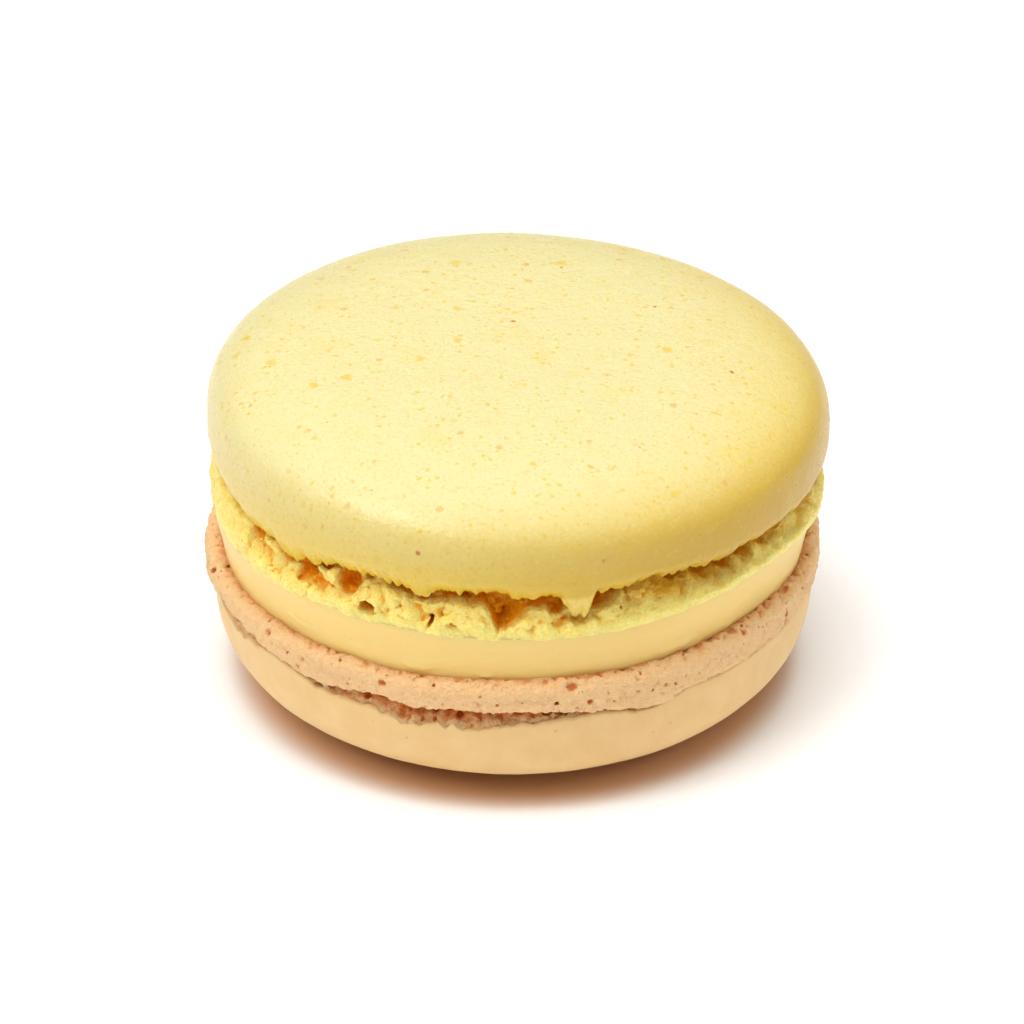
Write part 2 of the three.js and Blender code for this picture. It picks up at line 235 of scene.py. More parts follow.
class MacaronColours(bpy.types.PropertyGroup):
    """Colours of the doughs and the cream."""

    # Painted light: this pale colour stands in for the light and sheen that fall on the dome's top
    # and left side.
    lemon_crust: bpy.props.FloatVectorProperty(
        name="Lemon Crust",
        description="The lemon dome's skin on top, where it is driest",
        subtype="COLOR",
        default=tint(216, 205, 150),
    )
    lemon_shoulder: bpy.props.FloatVectorProperty(
        name="Lemon Shoulder",
        description="The lemon dome's skin down its shoulder",
        subtype="COLOR",
        default=tint(224, 189, 46),
    )
    # Painted shade: this colour stands in for the shade that falls low on the dome's right side.
    lemon_rim_shade: bpy.props.FloatVectorProperty(
        name="Lemon Rim",
        description="The lemon dome's skin low at the right, where it is darkest",
        subtype="COLOR",
        default=tint(192, 148, 18),
    )
    lemon_foam: bpy.props.FloatVectorProperty(
        name="Lemon Foam",
        description="The lemon foam where it stands out",
        subtype="COLOR",
        default=tint(255, 234, 136),
    )
    # Painted shade: this deep orange stands in for the shade and bounced light deep in the foam's
    # caves.
    lemon_cave_shade: bpy.props.FloatVectorProperty(
        name="Deep Lemon Foam",
        description="The lemon foam deep in its caves",
        subtype="COLOR",
        default=tint(255, 170, 0),
    )
    cream: bpy.props.FloatVectorProperty(
        name="Cream",
        description="The cream's side",
        subtype="COLOR",
        default=tint(243, 208, 124),
    )
    peach_foam: bpy.props.FloatVectorProperty(
        name="Peach Foam",
        description="The peach foam where it stands out",
        subtype="COLOR",
        default=tint(247, 205, 151),
    )
    # Painted shade: this rust colour stands in for the shade in the foam's crevice.
    peach_crevice_shade: bpy.props.FloatVectorProperty(
        name="Deep Peach Foam",
        description="The peach foam in its pits and crevice",
        subtype="COLOR",
        default=tint(226, 124, 34),
    )
    peach_crust: bpy.props.FloatVectorProperty(
        name="Peach Crust",
        description="The peach dome's skin",
        subtype="COLOR",
        default=tint(235, 198, 138),
    )


# -------------------- node trees as sums


class Wire:
    """A node's output that takes part in arithmetic: each operator adds a Math node."""

    def __init__(self, bench, socket):
        self.bench = bench
        self.socket = socket

    def __add__(self, other):
        return self.bench.math("ADD", self, other)

    def __radd__(self, other):
        return self.bench.math("ADD", other, self)

    def __sub__(self, other):
        return self.bench.math("SUBTRACT", self, other)

    def __rsub__(self, other):
        return self.bench.math("SUBTRACT", other, self)

    def __mul__(self, other):
        return self.bench.math("MULTIPLY", self, other)

    def __rmul__(self, other):
        return self.bench.math("MULTIPLY", other, self)

    def __truediv__(self, other):
        return self.bench.math("DIVIDE", self, other)

    def __rtruediv__(self, other):
        return self.bench.math("DIVIDE", other, self)

    def __pow__(self, other):
        return self.bench.math("POWER", self, other)

    def __neg__(self):
        return self.bench.math("MULTIPLY", self, -1.0)

    def __abs__(self):
        return self.bench.math("ABSOLUTE", self)

    def twin(self, name):
        """Another output of the same node."""
        return Wire(self.bench, self.socket.node.outputs[name])


class Bench:
    """A node tree that is built as sums of wires; node() adds any node to it."""

    def __init__(self, tree):
        self.tree = tree

    def node(self, kind, inputs=None, output=0, knots=None, **settings):
        """Adds a node: its settings first, then the values or wires of its inputs."""
        node = self.tree.nodes.new(kind)
        for name, value in settings.items():
            setattr(node, name, value)
        if knots:
            points = node.mapping.curves[0].points
            points[0].location, points[-1].location = knots[0], knots[-1]
            for knot in knots[1:-1]:
                points.new(*knot)
            for point in points:
                point.handle_type = "VECTOR"
            node.mapping.update()
        for key, value in (inputs or {}).items():
            self.feed(self.input_of(node, key), value)
        return Wire(self, node.outputs[output])

    @staticmethod
    def input_of(node, key):
        """A node's input by its place, its identifier or its name."""
        if isinstance(key, int):
            return node.inputs[key]
        exact = [s for s in node.inputs if s.identifier == key]
        return exact[0] if exact else node.inputs[key]

    def feed(self, socket, value):
        if isinstance(value, Wire):
            self.tree.links.new(value.socket, socket)
        elif socket.type == "RGBA":
            socket.default_value = (*value, 1.0)
        else:
            socket.default_value = value

    def math(self, operation, *values):
        return self.node("ShaderNodeMath", dict(enumerate(values)), operation=operation)

    def vector(self, operation, *values, output=0):
        return self.node(
            "ShaderNodeVectorMath", dict(enumerate(values)), output, operation=operation
        )

    def scaled(self, vector, factor):
        return self.node("ShaderNodeVectorMath", {0: vector, "Scale": factor}, operation="SCALE")

    def joined(self, x, y, z):
        return self.node("ShaderNodeCombineXYZ", {0: x, 1: y, 2: z})

    def split(self, vector):
        parts = self.node("ShaderNodeSeparateXYZ", {0: vector})
        return parts, parts.twin("Y"), parts.twin("Z")

    def ramp(self, value, start, end, shape="LINEAR"):
        """A clamped ramp from 0 at start to 1 at end."""
        return self.node(
            "ShaderNodeMapRange",
            {"Value": value, "From Min": start, "From Max": end},
            interpolation_type=shape,
        )

    def ease(self, value, start, end):
        """A smooth step from 0 at start to 1 at end."""
        return self.ramp(value, start, end, "SMOOTHSTEP")

    def grain(self, point, size, detail, seed, output=0):
        """Soft noise round 0, about -1 to 1, with lumps of that size."""
        moved = self.vector("ADD", point, (seed * 13.7, seed * -7.9, seed * 5.3))
        noise = self.node(
            "ShaderNodeTexNoise", {"Vector": moved, "Scale": 1 / size, "Detail": detail}, output
        )
        if output:
            return self.scaled(self.vector("SUBTRACT", noise, (0.5, 0.5, 0.5)), 2.0)
        return (noise - 0.5) * 2.0

    def layers(self, point, *layers):
        """Soft noise in layers, each the size of its lumps, detail, seed and height."""
        return sum(self.grain(point, *layer) * height for *layer, height in layers)

    def cells(self, point, size, seed):
        """The distance to the nearest of scattered points, as a share of their spacing."""
        moved = self.vector("ADD", point, (seed * 11.3, seed * 6.1, seed * -9.7))
        return self.node("ShaderNodeTexVoronoi", {"Vector": moved, "Scale": 1 / size})

    def chosen(self, cell, amount):
        """1 in a share of the cells and 0 in the rest, and a chance width for each."""
        chance, width, _ = self.split(cell.twin("Color"))
        return self.math("LESS_THAN", chance, amount), width

    def hump(self, azimuth, middle, half):
        """A smooth hump, 1 at an azimuth and 0 from half a width away."""
        return self.ease(abs(azimuth - middle), half, 0.0)

    def profile(self, value, points):
        """A level read off straight lines between points, each a place and a level."""
        start, end = points[0][0], points[-1][0]
        low = min(level for _, level in points)
        span = max(level for _, level in points) - low
        knots = [((at - start) / (end - start), (level - low) / span) for at, level in points]
        share = (value - start) / (end - start)
        return self.node("ShaderNodeFloatCurve", {"Value": share}, knots=knots) * span + low


class Form(Bench):
    """A Geometry Nodes tree with named sizes, which becomes a plain mesh."""

    def __init__(self, name):
        super().__init__(bpy.data.node_groups.new(name, "GeometryNodeTree"))
        self.name = name
        self.sizes = {}
        self.tree.interface.new_socket("Geometry", in_out="OUTPUT", socket_type="NodeSocketGeometry")
        self.inputs = self.tree.nodes.new("NodeGroupInput")

    def size(self, name, value):
        """A named size of the form, as a wire."""
        socket = self.tree.interface.new_socket(name, in_out="INPUT", socket_type="NodeSocketFloat")
        socket.default_value = value
        self.sizes[socket.identifier] = value
        return Wire(self, self.inputs.outputs[name])

    def finish(self, geometry, material):
        """Ends the tree, and returns the object that holds its result as a plain mesh."""
        smooth = self.node("GeometryNodeSetShadeSmooth", {"Geometry": geometry})
        real = self.node("GeometryNodeRealizeInstances", {"Geometry": smooth})
        painted = self.node("GeometryNodeSetMaterial", {"Geometry": real, "Material": material})
        end = self.tree.nodes.new("NodeGroupOutput")
        self.tree.links.new(painted.socket, end.inputs[0])

        piece = bpy.data.objects.new(self.name, bpy.data.meshes.new(self.name))
        bpy.context.scene.collection.objects.link(piece)
        maker = piece.modifiers.new("Form", "NODES")
        maker.node_group = self.tree
        for identifier, value in self.sizes.items():
            maker[identifier] = value
        depsgraph = bpy.context.evaluated_depsgraph_get()
        made = bpy.data.meshes.new_from_object(piece.evaluated_get(depsgraph))
        piece.modifiers.remove(maker)
        empty = piece.data
        piece.data = made
        piece.data.name = self.name
        bpy.data.meshes.remove(empty)
        return piece


class Polar:
    """Where a point lies, in millimetres and degrees."""

    def __init__(self, bench, point):
        self.x, self.y, self.z = bench.split(point)
        self.radius = bench.math("SQRT", self.x * self.x + self.y * self.y)
        turn = bench.math("ARCTAN2", self.x, -self.y)
        self.azimuth = turn * math.degrees(1)


# -------------------- shared forms


def lip_line(bench, azimuth):
    """The level of the lemon dome's lip, without its torn flaps."""
    return bench.profile(azimuth, LIP_LINE) + LIP_Z


def lip_level(bench, azimuth):
    """The level of the lemon dome's lip, with its torn flaps."""
    level = lip_line(bench, azimuth)
    for at, left, right, drop in TONGUES:
        before = bench.ramp(azimuth, at - left, at - left * TIP_SHARE)
        after = bench.ramp(azimuth, at + right, at + right * TIP_SHARE)
        level = level - before * after * drop
    return level


def cream_top(bench, azimuth):
    """The level where the lemon foam ends on the cream."""
    return bench.profile(azimuth, CREAM_TOP_LINE) + CREAM_TOP_Z


def cream_foot(bench, azimuth):
    """The level where the cream ends on the peach foam."""
    return bench.profile(azimuth, CREAM_FOOT_LINE) + CREAM_FOOT_Z


def webbing(bench, azimuth):
    """How far the lemon foam is drawn into thin ribs, from 0 to 1: only at the right."""
    return bench.ease(azimuth, 14.0, 30.0) * bench.ease(azimuth, 110.0, 90.0)


def foam_wall(bench, azimuth, share, radius):
    """The lemon foam's radius: steep at the left, and a ramp under the lip at the right."""
    steep = radius - 0.5 - 0.5 * bench.ease(share, 0.7, 0.0)
    ramp = radius - 2.9 + 2.5 * bench.ramp(share, 0.0, 0.85)
    right = bench.ease(azimuth, 4.0, 26.0) * bench.ease(azimuth, 150.0, 120.0)
    bulge = bench.hump(azimuth, 82.0, 30.0) * bench.ease(share, 0.3, 0.75) * 0.4
    return steep + (ramp - steep) * right + bulge


def skirt_level(form, azimuth):
    """How far the peach foam hangs below its usual level."""
    return sum(form.hump(azimuth, at, half) * fall for at, half, fall in SKIRTS)


def gape(bench, azimuth):
    """How far the crevice under the peach foam is open, from 0 to 1."""
    front = bench.hump(azimuth, -14.0, 42.0)
    left = bench.hump(azimuth, -64.0, 16.0) * 0.8
    back = bench.hump(abs(azimuth), 150.0, 45.0) * 0.7
    return bench.math("MAXIMUM", bench.math("MAXIMUM", front, left), back)


def rim_level(form, azimuth, ring):
    """The level of the peach dome's torn rim, from a point on a ring of its radius."""
    ragged = form.layers(ring, (2.2, 1.0, 21, 0.2), (0.7, 2.0, 22, 0.25))
    torn = form.ease(form.grain(ring, 1.2, 2.0, seed=26), -0.3, 0.5)
    open_here = gape(form, azimuth) * (1.0 + 0.7 * torn)
    drop = skirt_level(form, azimuth) - 0.2 + ragged + open_here
    return CREVICE_Z - drop


# A dome's section is a superellipse, with its rows crowded towards the shoulder.
CROWDING = 2.6
SHOULDER = 4.5
FULLNESS = 3.2
CLOSING_ROWS = 4


def crown(form, row, rows, rise):
    """A dome's share of its radius and its height over the widest ring, from the pole."""
    share = 1.0 - (1.0 - form.ramp(row, 0.0, float(rows))) ** CROWDING
    return share, rise * (1.0 - share**SHOULDER) ** (1 / FULLNESS)


def wobble(form, turn, phase):
    """How far a dome lies inside its radius, because it isn't quite round."""
    oval = form.math("SINE", turn * 2.0 + phase)
    egg = form.math("SINE", turn * 3.0 + 2 * phase)
    return 0.05 * (oval + 0.5 * egg - 1.5)


def on_ring(form, turn):
    """The point of the shells' ring at a turn, for noise that runs round it."""
    return form.joined(form.math("SINE", turn) * RADIUS, form.math("COSINE", turn) * RADIUS, 0.0)


def dome_grid(form, around, rows):
    """A grid whose place gives the azimuth and the way down from the pole, 0 to 1."""
    grid = form.node(
        "GeometryNodeMeshGrid",
        {"Size X": 1.0, "Size Y": 1.0, "Vertices X": around + 1, "Vertices Y": rows + 1},
    )
    place = form.node("GeometryNodeInputPosition")
    across, up, _ = form.split(place)
    return grid, across * 360.0, 0.5 - up


def placed(form, grid, azimuth, radius, level):
    """The grid's points at their radius and level, with the seam and poles closed."""
    turn = azimuth * math.radians(1)
    point = form.joined(
        radius * form.math("SINE", turn), -(radius * form.math("COSINE", turn)), level
    )
    moved = form.node(
        "GeometryNodeSetPosition", {"Geometry": grid, "Position": form.scaled(point, MM)}
    )
    return form.node("GeometryNodeMergeByDistance", {"Geometry": moved, "Distance": 1e-6})


def in_millimetres(form):
    return form.scaled(form.node("GeometryNodeInputPosition"), 1 / MM)


def swollen(form, geometry, relief):
    """The surface moved out along its normals, by millimetres."""
    normal = form.node("GeometryNodeInputNormal")
    return form.node(
        "GeometryNodeSetPosition",
        {"Geometry": geometry, "Offset": form.scaled(normal, relief * MM)},
    )


def keep(piece, node):
    """Hands a finished piece to the frame."""
    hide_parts(node)
    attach(piece, BODY)


# -------------------- lemon dome


class MACARON_OT_lemon_dome(bpy.types.Operator):
    """Make the lemon dome: a smooth, freckled skin that ends in a ragged lip"""

    bl_idname = "macaron.lemon_dome"
    bl_label = "Lemon Dome"

    def execute(self, context):
        sizes = context.scene.macaron_sizes
        form = Form("lemon_dome")
        radius = form.size("Radius", sizes.radius)
        rise = form.size("Rise", TOP_RISE)
        tuck = form.size("Lip Tuck", 0.95)
        shift = form.size("Side Shift", sizes.side_shift)

        rows = 100
        crown_rows, curl_rows, under_rows = 62, 26, 8
        grid, azimuth, down = dome_grid(form, sizes.around, rows)
        row = down * float(rows)
        turn = azimuth * math.radians(1)
        side = form.math("SINE", turn)

        # The crown, from the pole to the widest ring.
        share, height = crown(form, row, crown_rows, rise)
        crown_drop = side * share * (RADIUS * math.tan(sizes.lean))

        # The curl, from the widest ring to the lip.
        curl = form.ramp(row, float(crown_rows), float(crown_rows + curl_rows))
        ring = on_ring(form, turn)
        ragged = form.layers(ring, (2.6, 1.0, 1, 0.4), (1.0, 2.0, 2, 0.6), (0.4, 2.0, 9, 0.65))
        lip = lip_level(form, azimuth) + ragged
        widest = WIDEST_Z - crown_drop
        level = widest + height - (widest - lip) * curl

        # The underside, from the lip in to the axis.
        under = form.ramp(
            row, float(crown_rows + curl_rows), float(crown_rows + curl_rows + under_rows)
        )
        closing = form.ramp(row, float(rows - CLOSING_ROWS), float(rows))
        under_rise, under_reach = 1.3, 3.4
        level = level + under * under_rise
        reach = (radius + wobble(form, turn, 1.3) + side * shift) * share
        reach = reach - tuck * curl**2.2 - under_reach * under**1.4
        reach = reach * (1.0 - closing)

        skin = placed(form, grid, azimuth, reach, level)
        point = in_millimetres(form)
        relief = form.layers(point, (7.0, 1.0, 3, 0.07), (2.2, 1.0, 4, 0.02))
        for at, level, size, height in BLISTERS:
            a = math.radians(at)
            middle = (RADIUS * math.sin(a), -RADIUS * math.cos(a), level)
            away = form.vector("DISTANCE", point, middle, output="Value")
            relief = relief + form.ease(away, size, size * 0.2) * height
        piece = form.finish(swollen(form, skin, relief), lemon_crust(context))
        keep(piece, "upper_shell")
        return {"FINISHED"}


# -------------------- lemon foam


def block(form, density, low, high, step):
    """A closed surface where the density turns from below to above zero."""
    counts = [max(8, round((b - a) / step)) for a, b in zip(low, high)]
    volume = form.node(
        "GeometryNodeVolumeCube",
        {
            "Density": density,
            "Background": -1.0,
            "Min": [v * MM for v in low],
            "Max": [v * MM for v in high],
            **{f"Resolution {axis}": count for axis, count in zip("XYZ", counts)},
        },
    )
    return form.node(
        "GeometryNodeVolumeToMesh", {"Volume": volume, "Threshold": 0.0, "Adaptivity": 0.0}
    )


def thinned(piece, most):
    """Takes faces away where they matter least, down to a number of triangles."""
    triangles = sum(len(p.vertices) - 2 for p in piece.data.polygons)
    if triangles > most:
        fewer = piece.modifiers.new("Fewer", "DECIMATE")
        fewer.ratio = most / triangles
        bpy.context.view_layer.objects.active = piece
        bpy.ops.object.modifier_apply(modifier=fewer.name)


class MACARON_OT_lemon_foam(bpy.types.Operator):
    """Make the lemon foam: lumpy, torn foam under the dome's lip"""

    bl_idname = "macaron.lemon_foam"
    bl_label = "Lemon Foam"

    def execute(self, context):
        sizes = context.scene.macaron_sizes
        form = Form("lemon_foam")
        radius = form.size("Radius", sizes.radius)
        boulders = form.size("Boulders", 1.5)
        bubbles = form.size("Bubbles", 0.62)
        crumb = form.size("Crumb", 0.24)

        point = in_millimetres(form)
        place = Polar(form, point)
        azimuth = place.azimuth
        lip = lip_level(form, azimuth)
        foot = cream_top(form, azimuth)
        share = (lip - place.z) / (lip - foot)
        body = foam_wall(form, azimuth, share, radius) - place.radius

        # Lumps like those of a cauliflower, at three sizes.
        large = form.cells(point, 1.75, seed=1)
        middle = form.cells(point, 0.78, seed=2)
        small = form.cells(point, 0.36, seed=3)
        relief = (
            boulders * (0.26 - large * large)
            + bubbles * (0.27 - middle * middle)
            + crumb * (0.27 - small * small)
        )
        webbed = webbing(form, azimuth)
        smooth = form.ease(azimuth, -50.0, -66.0) * form.ease(azimuth, -110.0, -90.0)
        lumpy = 1.0 - 0.6 * smooth - 0.5 * webbed
        calm = 1.0 - 0.75 * form.ease(share, 0.66, 0.97)
        relief = relief * lumpy * calm
        body = body + relief

        # Above its torn crest the foam stands back.
        rough = form.layers(point, (0.9, 2.0, 8, 0.35), (0.35, 1.0, 9, 0.15))
        below = lip_line(form, azimuth) - place.z
        crest = form.profile(azimuth, CREST) + rough
        back = 1.4 + form.grain(point, 2.2, 1.0, seed=10) * 0.5
        body = body - form.ease(crest - below, -0.1, 0.2) * back

        # Pores: only some of the scattered cells hold one.
        pore = form.cells(point, 1.25, seed=4)
        open_here, wide = form.chosen(pore, 0.3)
        hole = (0.12 + 0.22 * wide) * open_here * form.ease(share, 0.8, 0.6)
        body = form.math("SMOOTH_MIN", body, pore * 1.25 - hole + 0.02, 0.12)

        # Thin ribs between hollows, on the ramp under the lip.
        ribs = form.cells(form.joined(azimuth * 0.4, 0.0, place.z * 0.25), 0.9, seed=7)
        hollowed = form.ease(share, 0.75, 0.2) * webbed
        body = body - form.ease(ribs, 0.45, 0.1) * hollowed * 0.9

        # Caves, each a rough ellipsoid in arc, radius and depth below the lip.
        warp = form.scaled(form.grain(point, 1.0, 2.0, seed=5, output=1), 0.3)
        arc_per_degree = RADIUS * math.radians(1)
        wall = RADIUS - 0.6
        spot = form.joined(azimuth * arc_per_degree, place.radius, below)
        spot = form.vector("ADD", spot, warp)
        for at, half, deep, tall, under in CAVES:
            reach = (half * arc_per_degree, deep + 0.5, tall)
            away = form.vector("SUBTRACT", spot, (at * arc_per_degree, wall, under))
            inside = form.vector("LENGTH", form.vector("DIVIDE", away, reach), output="Value")
            hollow = (inside - 1.0) * min(reach) + relief * 0.3
            body = form.math("SMOOTH_MIN", body, hollow, 0.12)

        # It reaches up behind the lip, down into the cream and a little way in.
        overlap, sink, depth = 0.9, 0.16, 4.0
        uneven = form.grain(point, 1.5, 1.0, seed=6) * 0.12
        ceiling = lip + overlap - place.z
        floor = place.z - foot + sink + uneven
        inner = place.radius - (RADIUS - depth)
        for cut, soft in ((ceiling, 0.1), (floor, 0.12), (inner, 0.1)):
            body = form.math("SMOOTH_MIN", body, cut, soft)

        reach = RADIUS + 0.3
        low = (-reach, -reach, CREAM_TOP_Z - 0.4)
        high = (reach, reach, LIP_Z + 1.6)
        mesh = block(form, body, low, high, sizes.foam_step)
        piece = form.finish(mesh, lemon_foam(context))
        thinned(piece, sizes.foam_faces)
        keep(piece, "upper_shell")
        return {"FINISHED"}


# -------------------- cream


class MACARON_OT_cream(bpy.types.Operator):
    """Make the cream band: smooth, slightly hollowed, with a few smears"""

    bl_idname = "macaron.cream"
    bl_label = "Cream"

    def execute(self, context):
        sizes = context.scene.macaron_sizes
        form = Form("cream_band")
        radius = form.size("Radius", sizes.radius)
        top_tuck = form.size("Top Tuck", 0.55)
        foot_tuck = form.size("Foot Tuck", 1.3)
        sink = form.size("Foot Sink", 0.3)

        rows = 60
        side_rows = 44
        edge_rows = (rows - side_rows) / 2
        grid, azimuth, down = dome_grid(form, sizes.around, rows)
        row = down * float(rows)
        t = form.ramp(row, edge_rows, edge_rows + side_rows)
        top = form.ramp(row, 0.0, edge_rows)
        foot = form.ramp(row, edge_rows + side_rows, float(rows))
        top_level = cream_top(form, azimuth)
        height = top_level - cream_foot(form, azimuth) + sink
        waist = 0.12 * form.math("SINE", t * math.pi)
        reach = radius - top_tuck - (foot_tuck - top_tuck) * t**1.3 - waist
        reach = reach * top**0.2 * (1.0 - foot) ** 0.2
        band = placed(form, grid, azimuth, reach, top_level - t * height)

        point = in_millimetres(form)
        place = Polar(form, point)
        over = place.z - cream_foot(form, place.azimuth)
        under = cream_top(form, place.azimuth) - place.z
        edge = form.ease(over, 0.0, 0.3) * form.ease(under, 0.0, 0.3)
        stretched = form.vector("MULTIPLY", point, (1.0, 1.0, 2.0))
        relief = form.layers(stretched, (3.5, 1.0, 6, 0.1), (1.1, 2.0, 7, 0.03))
        torn = form.grain(point, 0.8, 2.0, seed=10) * 0.7
        for at, level, half, tall, thick in SMEARS:
            across = (place.azimuth - at) / half
            up = (place.z - level) / tall
            away = form.math("SQRT", across * across + up * up) + torn
            relief = relief + form.ease(away, 1.0, 0.4) * thick
        piece = form.finish(swollen(form, band, relief * edge), cream_skin(context))
        keep(piece, "cream")
        return {"FINISHED"}


# -------------------- peach foam


class MACARON_OT_peach_foam(bpy.types.Operator):
    """Make the peach foam: a finely pitted roll with a torn lower edge"""

    bl_idname = "macaron.peach_foam"
    bl_label = "Peach Foam"

    def execute(self, context):
        sizes = context.scene.macaron_sizes
        form = Form("peach_foam")
        radius = form.size("Radius", sizes.radius)
        pit = form.size("Pit Size", 0.26)

        point = in_millimetres(form)
        place = Polar(form, point)
        drop = skirt_level(form, place.azimuth)
        ragged = form.layers(point, (1.6, 1.0, 11, 0.3), (0.5, 2.0, 16, 0.32))
        bottom = CREVICE_Z - drop + ragged

        # The roll's edge lies higher where the crevice under it gapes.
        bottom = bottom + gape(form, place.azimuth) * 0.35

        # The roll: a rounded bar in section, whose lower edge follows the skirts.
        top = cream_foot(form, place.azimuth)
        height = top - bottom
        middle = (top + bottom) / 2.0
        thick = 2.2
        rounding = 0.9
        out = place.radius - (radius - thick) - form.hump(place.azimuth, -85.0, 30.0) * 0.15
        beside = form.math("MAXIMUM", out - (thick - rounding), 0.0)
        above = form.math("MAXIMUM", abs(place.z - middle) - (height / 2.0 - rounding), 0.0)
        body = rounding - form.math("SQRT", beside * beside + above * above)

        small = form.cells(point, 0.42, seed=13)
        lumps = form.layers(point, (2.6, 1.0, 12, 0.2), (0.9, 2.0, 14, 0.12))
        body = body + (lumps + 0.16 * (0.25 - small * small) - 0.1)

        # A row of deeper pits along the cream, mostly at the right.
        seam = form.ease(top - place.z, 0.75, 0.1)
        pitted = 0.35 + 0.65 * form.ease(place.azimuth, 8.0, 35.0)
        torn = form.ease(form.grain(point, 0.8, 2.0, seed=17), -0.15, 0.45)
        body = body - seam * pitted * torn * 0.9

        # Pits: only some of the scattered cells hold one.
        for size, share, grow in ((2.2, 0.45, 1.5), (1.1, 0.5, 0.8), (0.55, 0.4, 0.45)):
            cell = form.cells(point, size, seed=size)
            open_here, wide = form.chosen(cell, share)
            hole = pit * grow * (0.55 + 0.75 * wide) * open_here
            body = form.math("SMOOTH_MIN", body, cell * size - hole + 0.015, 0.04)

        # Broken foam in the crevice, between the roll and the dome's rim.
        ring = form.joined(
            place.x / place.radius * RADIUS, -(place.y / place.radius * RADIUS), 0.0
        )
        rim = rim_level(form, place.azimuth, ring)
        crumbs = form.cells(point, 0.5, seed=18)
        broken = 0.5 * (0.25 - crumbs * crumbs) + form.grain(point, 1.0, 2.0, seed=15) * 0.4
        gap = form.cells(point, 0.9, seed=19)
        open_here, wide = form.chosen(gap, 0.55)
        hole = (0.2 + 0.3 * wide) * open_here
        behind = form.ramp(place.z, rim, rim + 1.4) * 1.2
        hidden = form.ease(place.z, rim - 0.15, rim - 0.5) * 1.3
        inset = radius - 0.75 - behind - hidden - place.radius + broken
        inset = form.math("SMOOTH_MIN", inset, gap * 0.9 - hole, 0.08)
        depth = form.math("MINIMUM", inset, place.z - (CREVICE_Z - 1.8))
        depth = form.math("MINIMUM", depth, top - 0.3 - place.z)
        body = form.math("SMOOTH_MAX", body, depth, 0.06)

        body = form.math("SMOOTH_MIN", body, top - place.z, 0.1)
        body = form.math("SMOOTH_MIN", body, place.radius - (RADIUS - 3.6), 0.1)
        reach = RADIUS + 0.15
        low = (-reach, -reach, CREVICE_Z - 1.9)
        high = (reach, reach, CREAM_FOOT_Z + 1.0)
        mesh = block(form, body, low, high, sizes.foam_step)
        piece = form.finish(mesh, peach_foam(context))
        thinned(piece, sizes.foam_faces)
        keep(piece, "lower_shell")
        return {"FINISHED"}


# -------------------- peach dome


class MACARON_OT_peach_dome(bpy.types.Operator):
    """Make the peach dome: a smooth matte skin with a torn upper rim"""

    bl_idname = "macaron.peach_dome"
    bl_label = "Peach Dome"

    def execute(self, context):
        sizes = context.scene.macaron_sizes
        form = Form("peach_dome")
        radius = form.size("Radius", sizes.radius - 0.45)
        rise = form.size("Rise", CREVICE_Z)

        rows = 96
        crown_rows, rim_rows = 78, 8
        grid, azimuth, along = dome_grid(form, sizes.around, rows)
        down = 1.0 - along
        row = down * float(rows)
        turn = azimuth * math.radians(1)

        share, height = crown(form, row, crown_rows, rise)
        drop = CREVICE_Z - rim_level(form, azimuth, on_ring(form, turn))
        near_rim = form.ramp(height, 3.5, 0.0) ** 2.0
        level = rise - height - drop * near_rim

        under = form.ramp(row, float(crown_rows), float(crown_rows + rim_rows))
        closing = form.ramp(row, float(rows - CLOSING_ROWS), float(rows))
        reach = (radius + wobble(form, turn, 4.1)) * share - 3.0 * under
        reach = reach * (1.0 - closing)
        level = level - 0.5 * under
        skin = placed(form, grid, azimuth, reach, level)

        point = in_millimetres(form)
        place = Polar(form, point)
        relief = form.layers(
            point, (6.0, 1.0, 23, 0.06), (1.6, 1.0, 24, 0.018), (0.6, 1.0, 25, 0.008)
        )
        off_floor = form.ease(place.z, 0.0, 0.8)
        piece = form.finish(swollen(form, skin, relief * off_floor), peach_crust(context))
        keep(piece, "lower_shell")
        return {"FINISHED"}


# -------------------- materials


class Finish(Bench):
    """A material's tree, with the Principled shader that it ends in."""

    def __init__(self, name, **constants):
        self.material = bpy.data.materials.new(name)
        self.material.use_nodes = True
        super().__init__(self.material.node_tree)
        self.shader = self.tree.nodes["Principled BSDF"]
        self.set(**constants)
        place = self.node("ShaderNodeTexCoord", output="Object")
        self.point = self.scaled(place, 1 / MM)

    def blend(self, share, first, second):
        """A colour between two, by a share from 0 to 1."""
        return self.node(
            "ShaderNodeMix",
            {"Factor_Float": share, "A_Color": first, "B_Color": second},
            output=2,
            data_type="RGBA",
        )

    def bumped(self, height, depth):
        """A normal from a height in millimetres."""
        return self.node(
            "ShaderNodeBump", {"Height": height * MM, "Distance": 1.0, "Strength": depth}
        )

    def set(self, **sockets):
        """Sets or links the shader's inputs, and returns the material."""
        for key, value in sockets.items():
            self.feed(self.shader.inputs[key.replace("_", " ")], value)
        return self.material


# Flecks in the lemon skin: spacing, radius, seed, share of the places that hold one,
# strength and colour.
LEMON_FLECKS = [
    (0.75, 0.26, 33, 0.7, 0.7, (214, 182, 62)),
    (1.5, 0.4, 35, 0.45, 0.6, (208, 164, 80)),
    (2.6, 0.7, 34, 0.4, 0.7, (214, 182, 66)),
    (1.1, 0.12, 30, 0.5, 0.9, (210, 134, 26)),
    (3.2, 0.28, 36, 0.45, 0.85, (186, 100, 44)),
]


def flecks(finish, size, radius, seed, amount):
    """Ragged spots scattered on a skin, 0 to 1."""
    warp = finish.grain(finish.point, radius, 2.0, seed, output=1)
    torn = finish.vector("ADD", finish.point, finish.scaled(warp, radius * 0.6))
    cell = finish.cells(torn, size, seed)
    here, wide = finish.chosen(cell, amount)
    edge = radius * (0.35 + 0.65 * wide)
    return finish.ease(cell * size, edge, edge * 0.45) * here


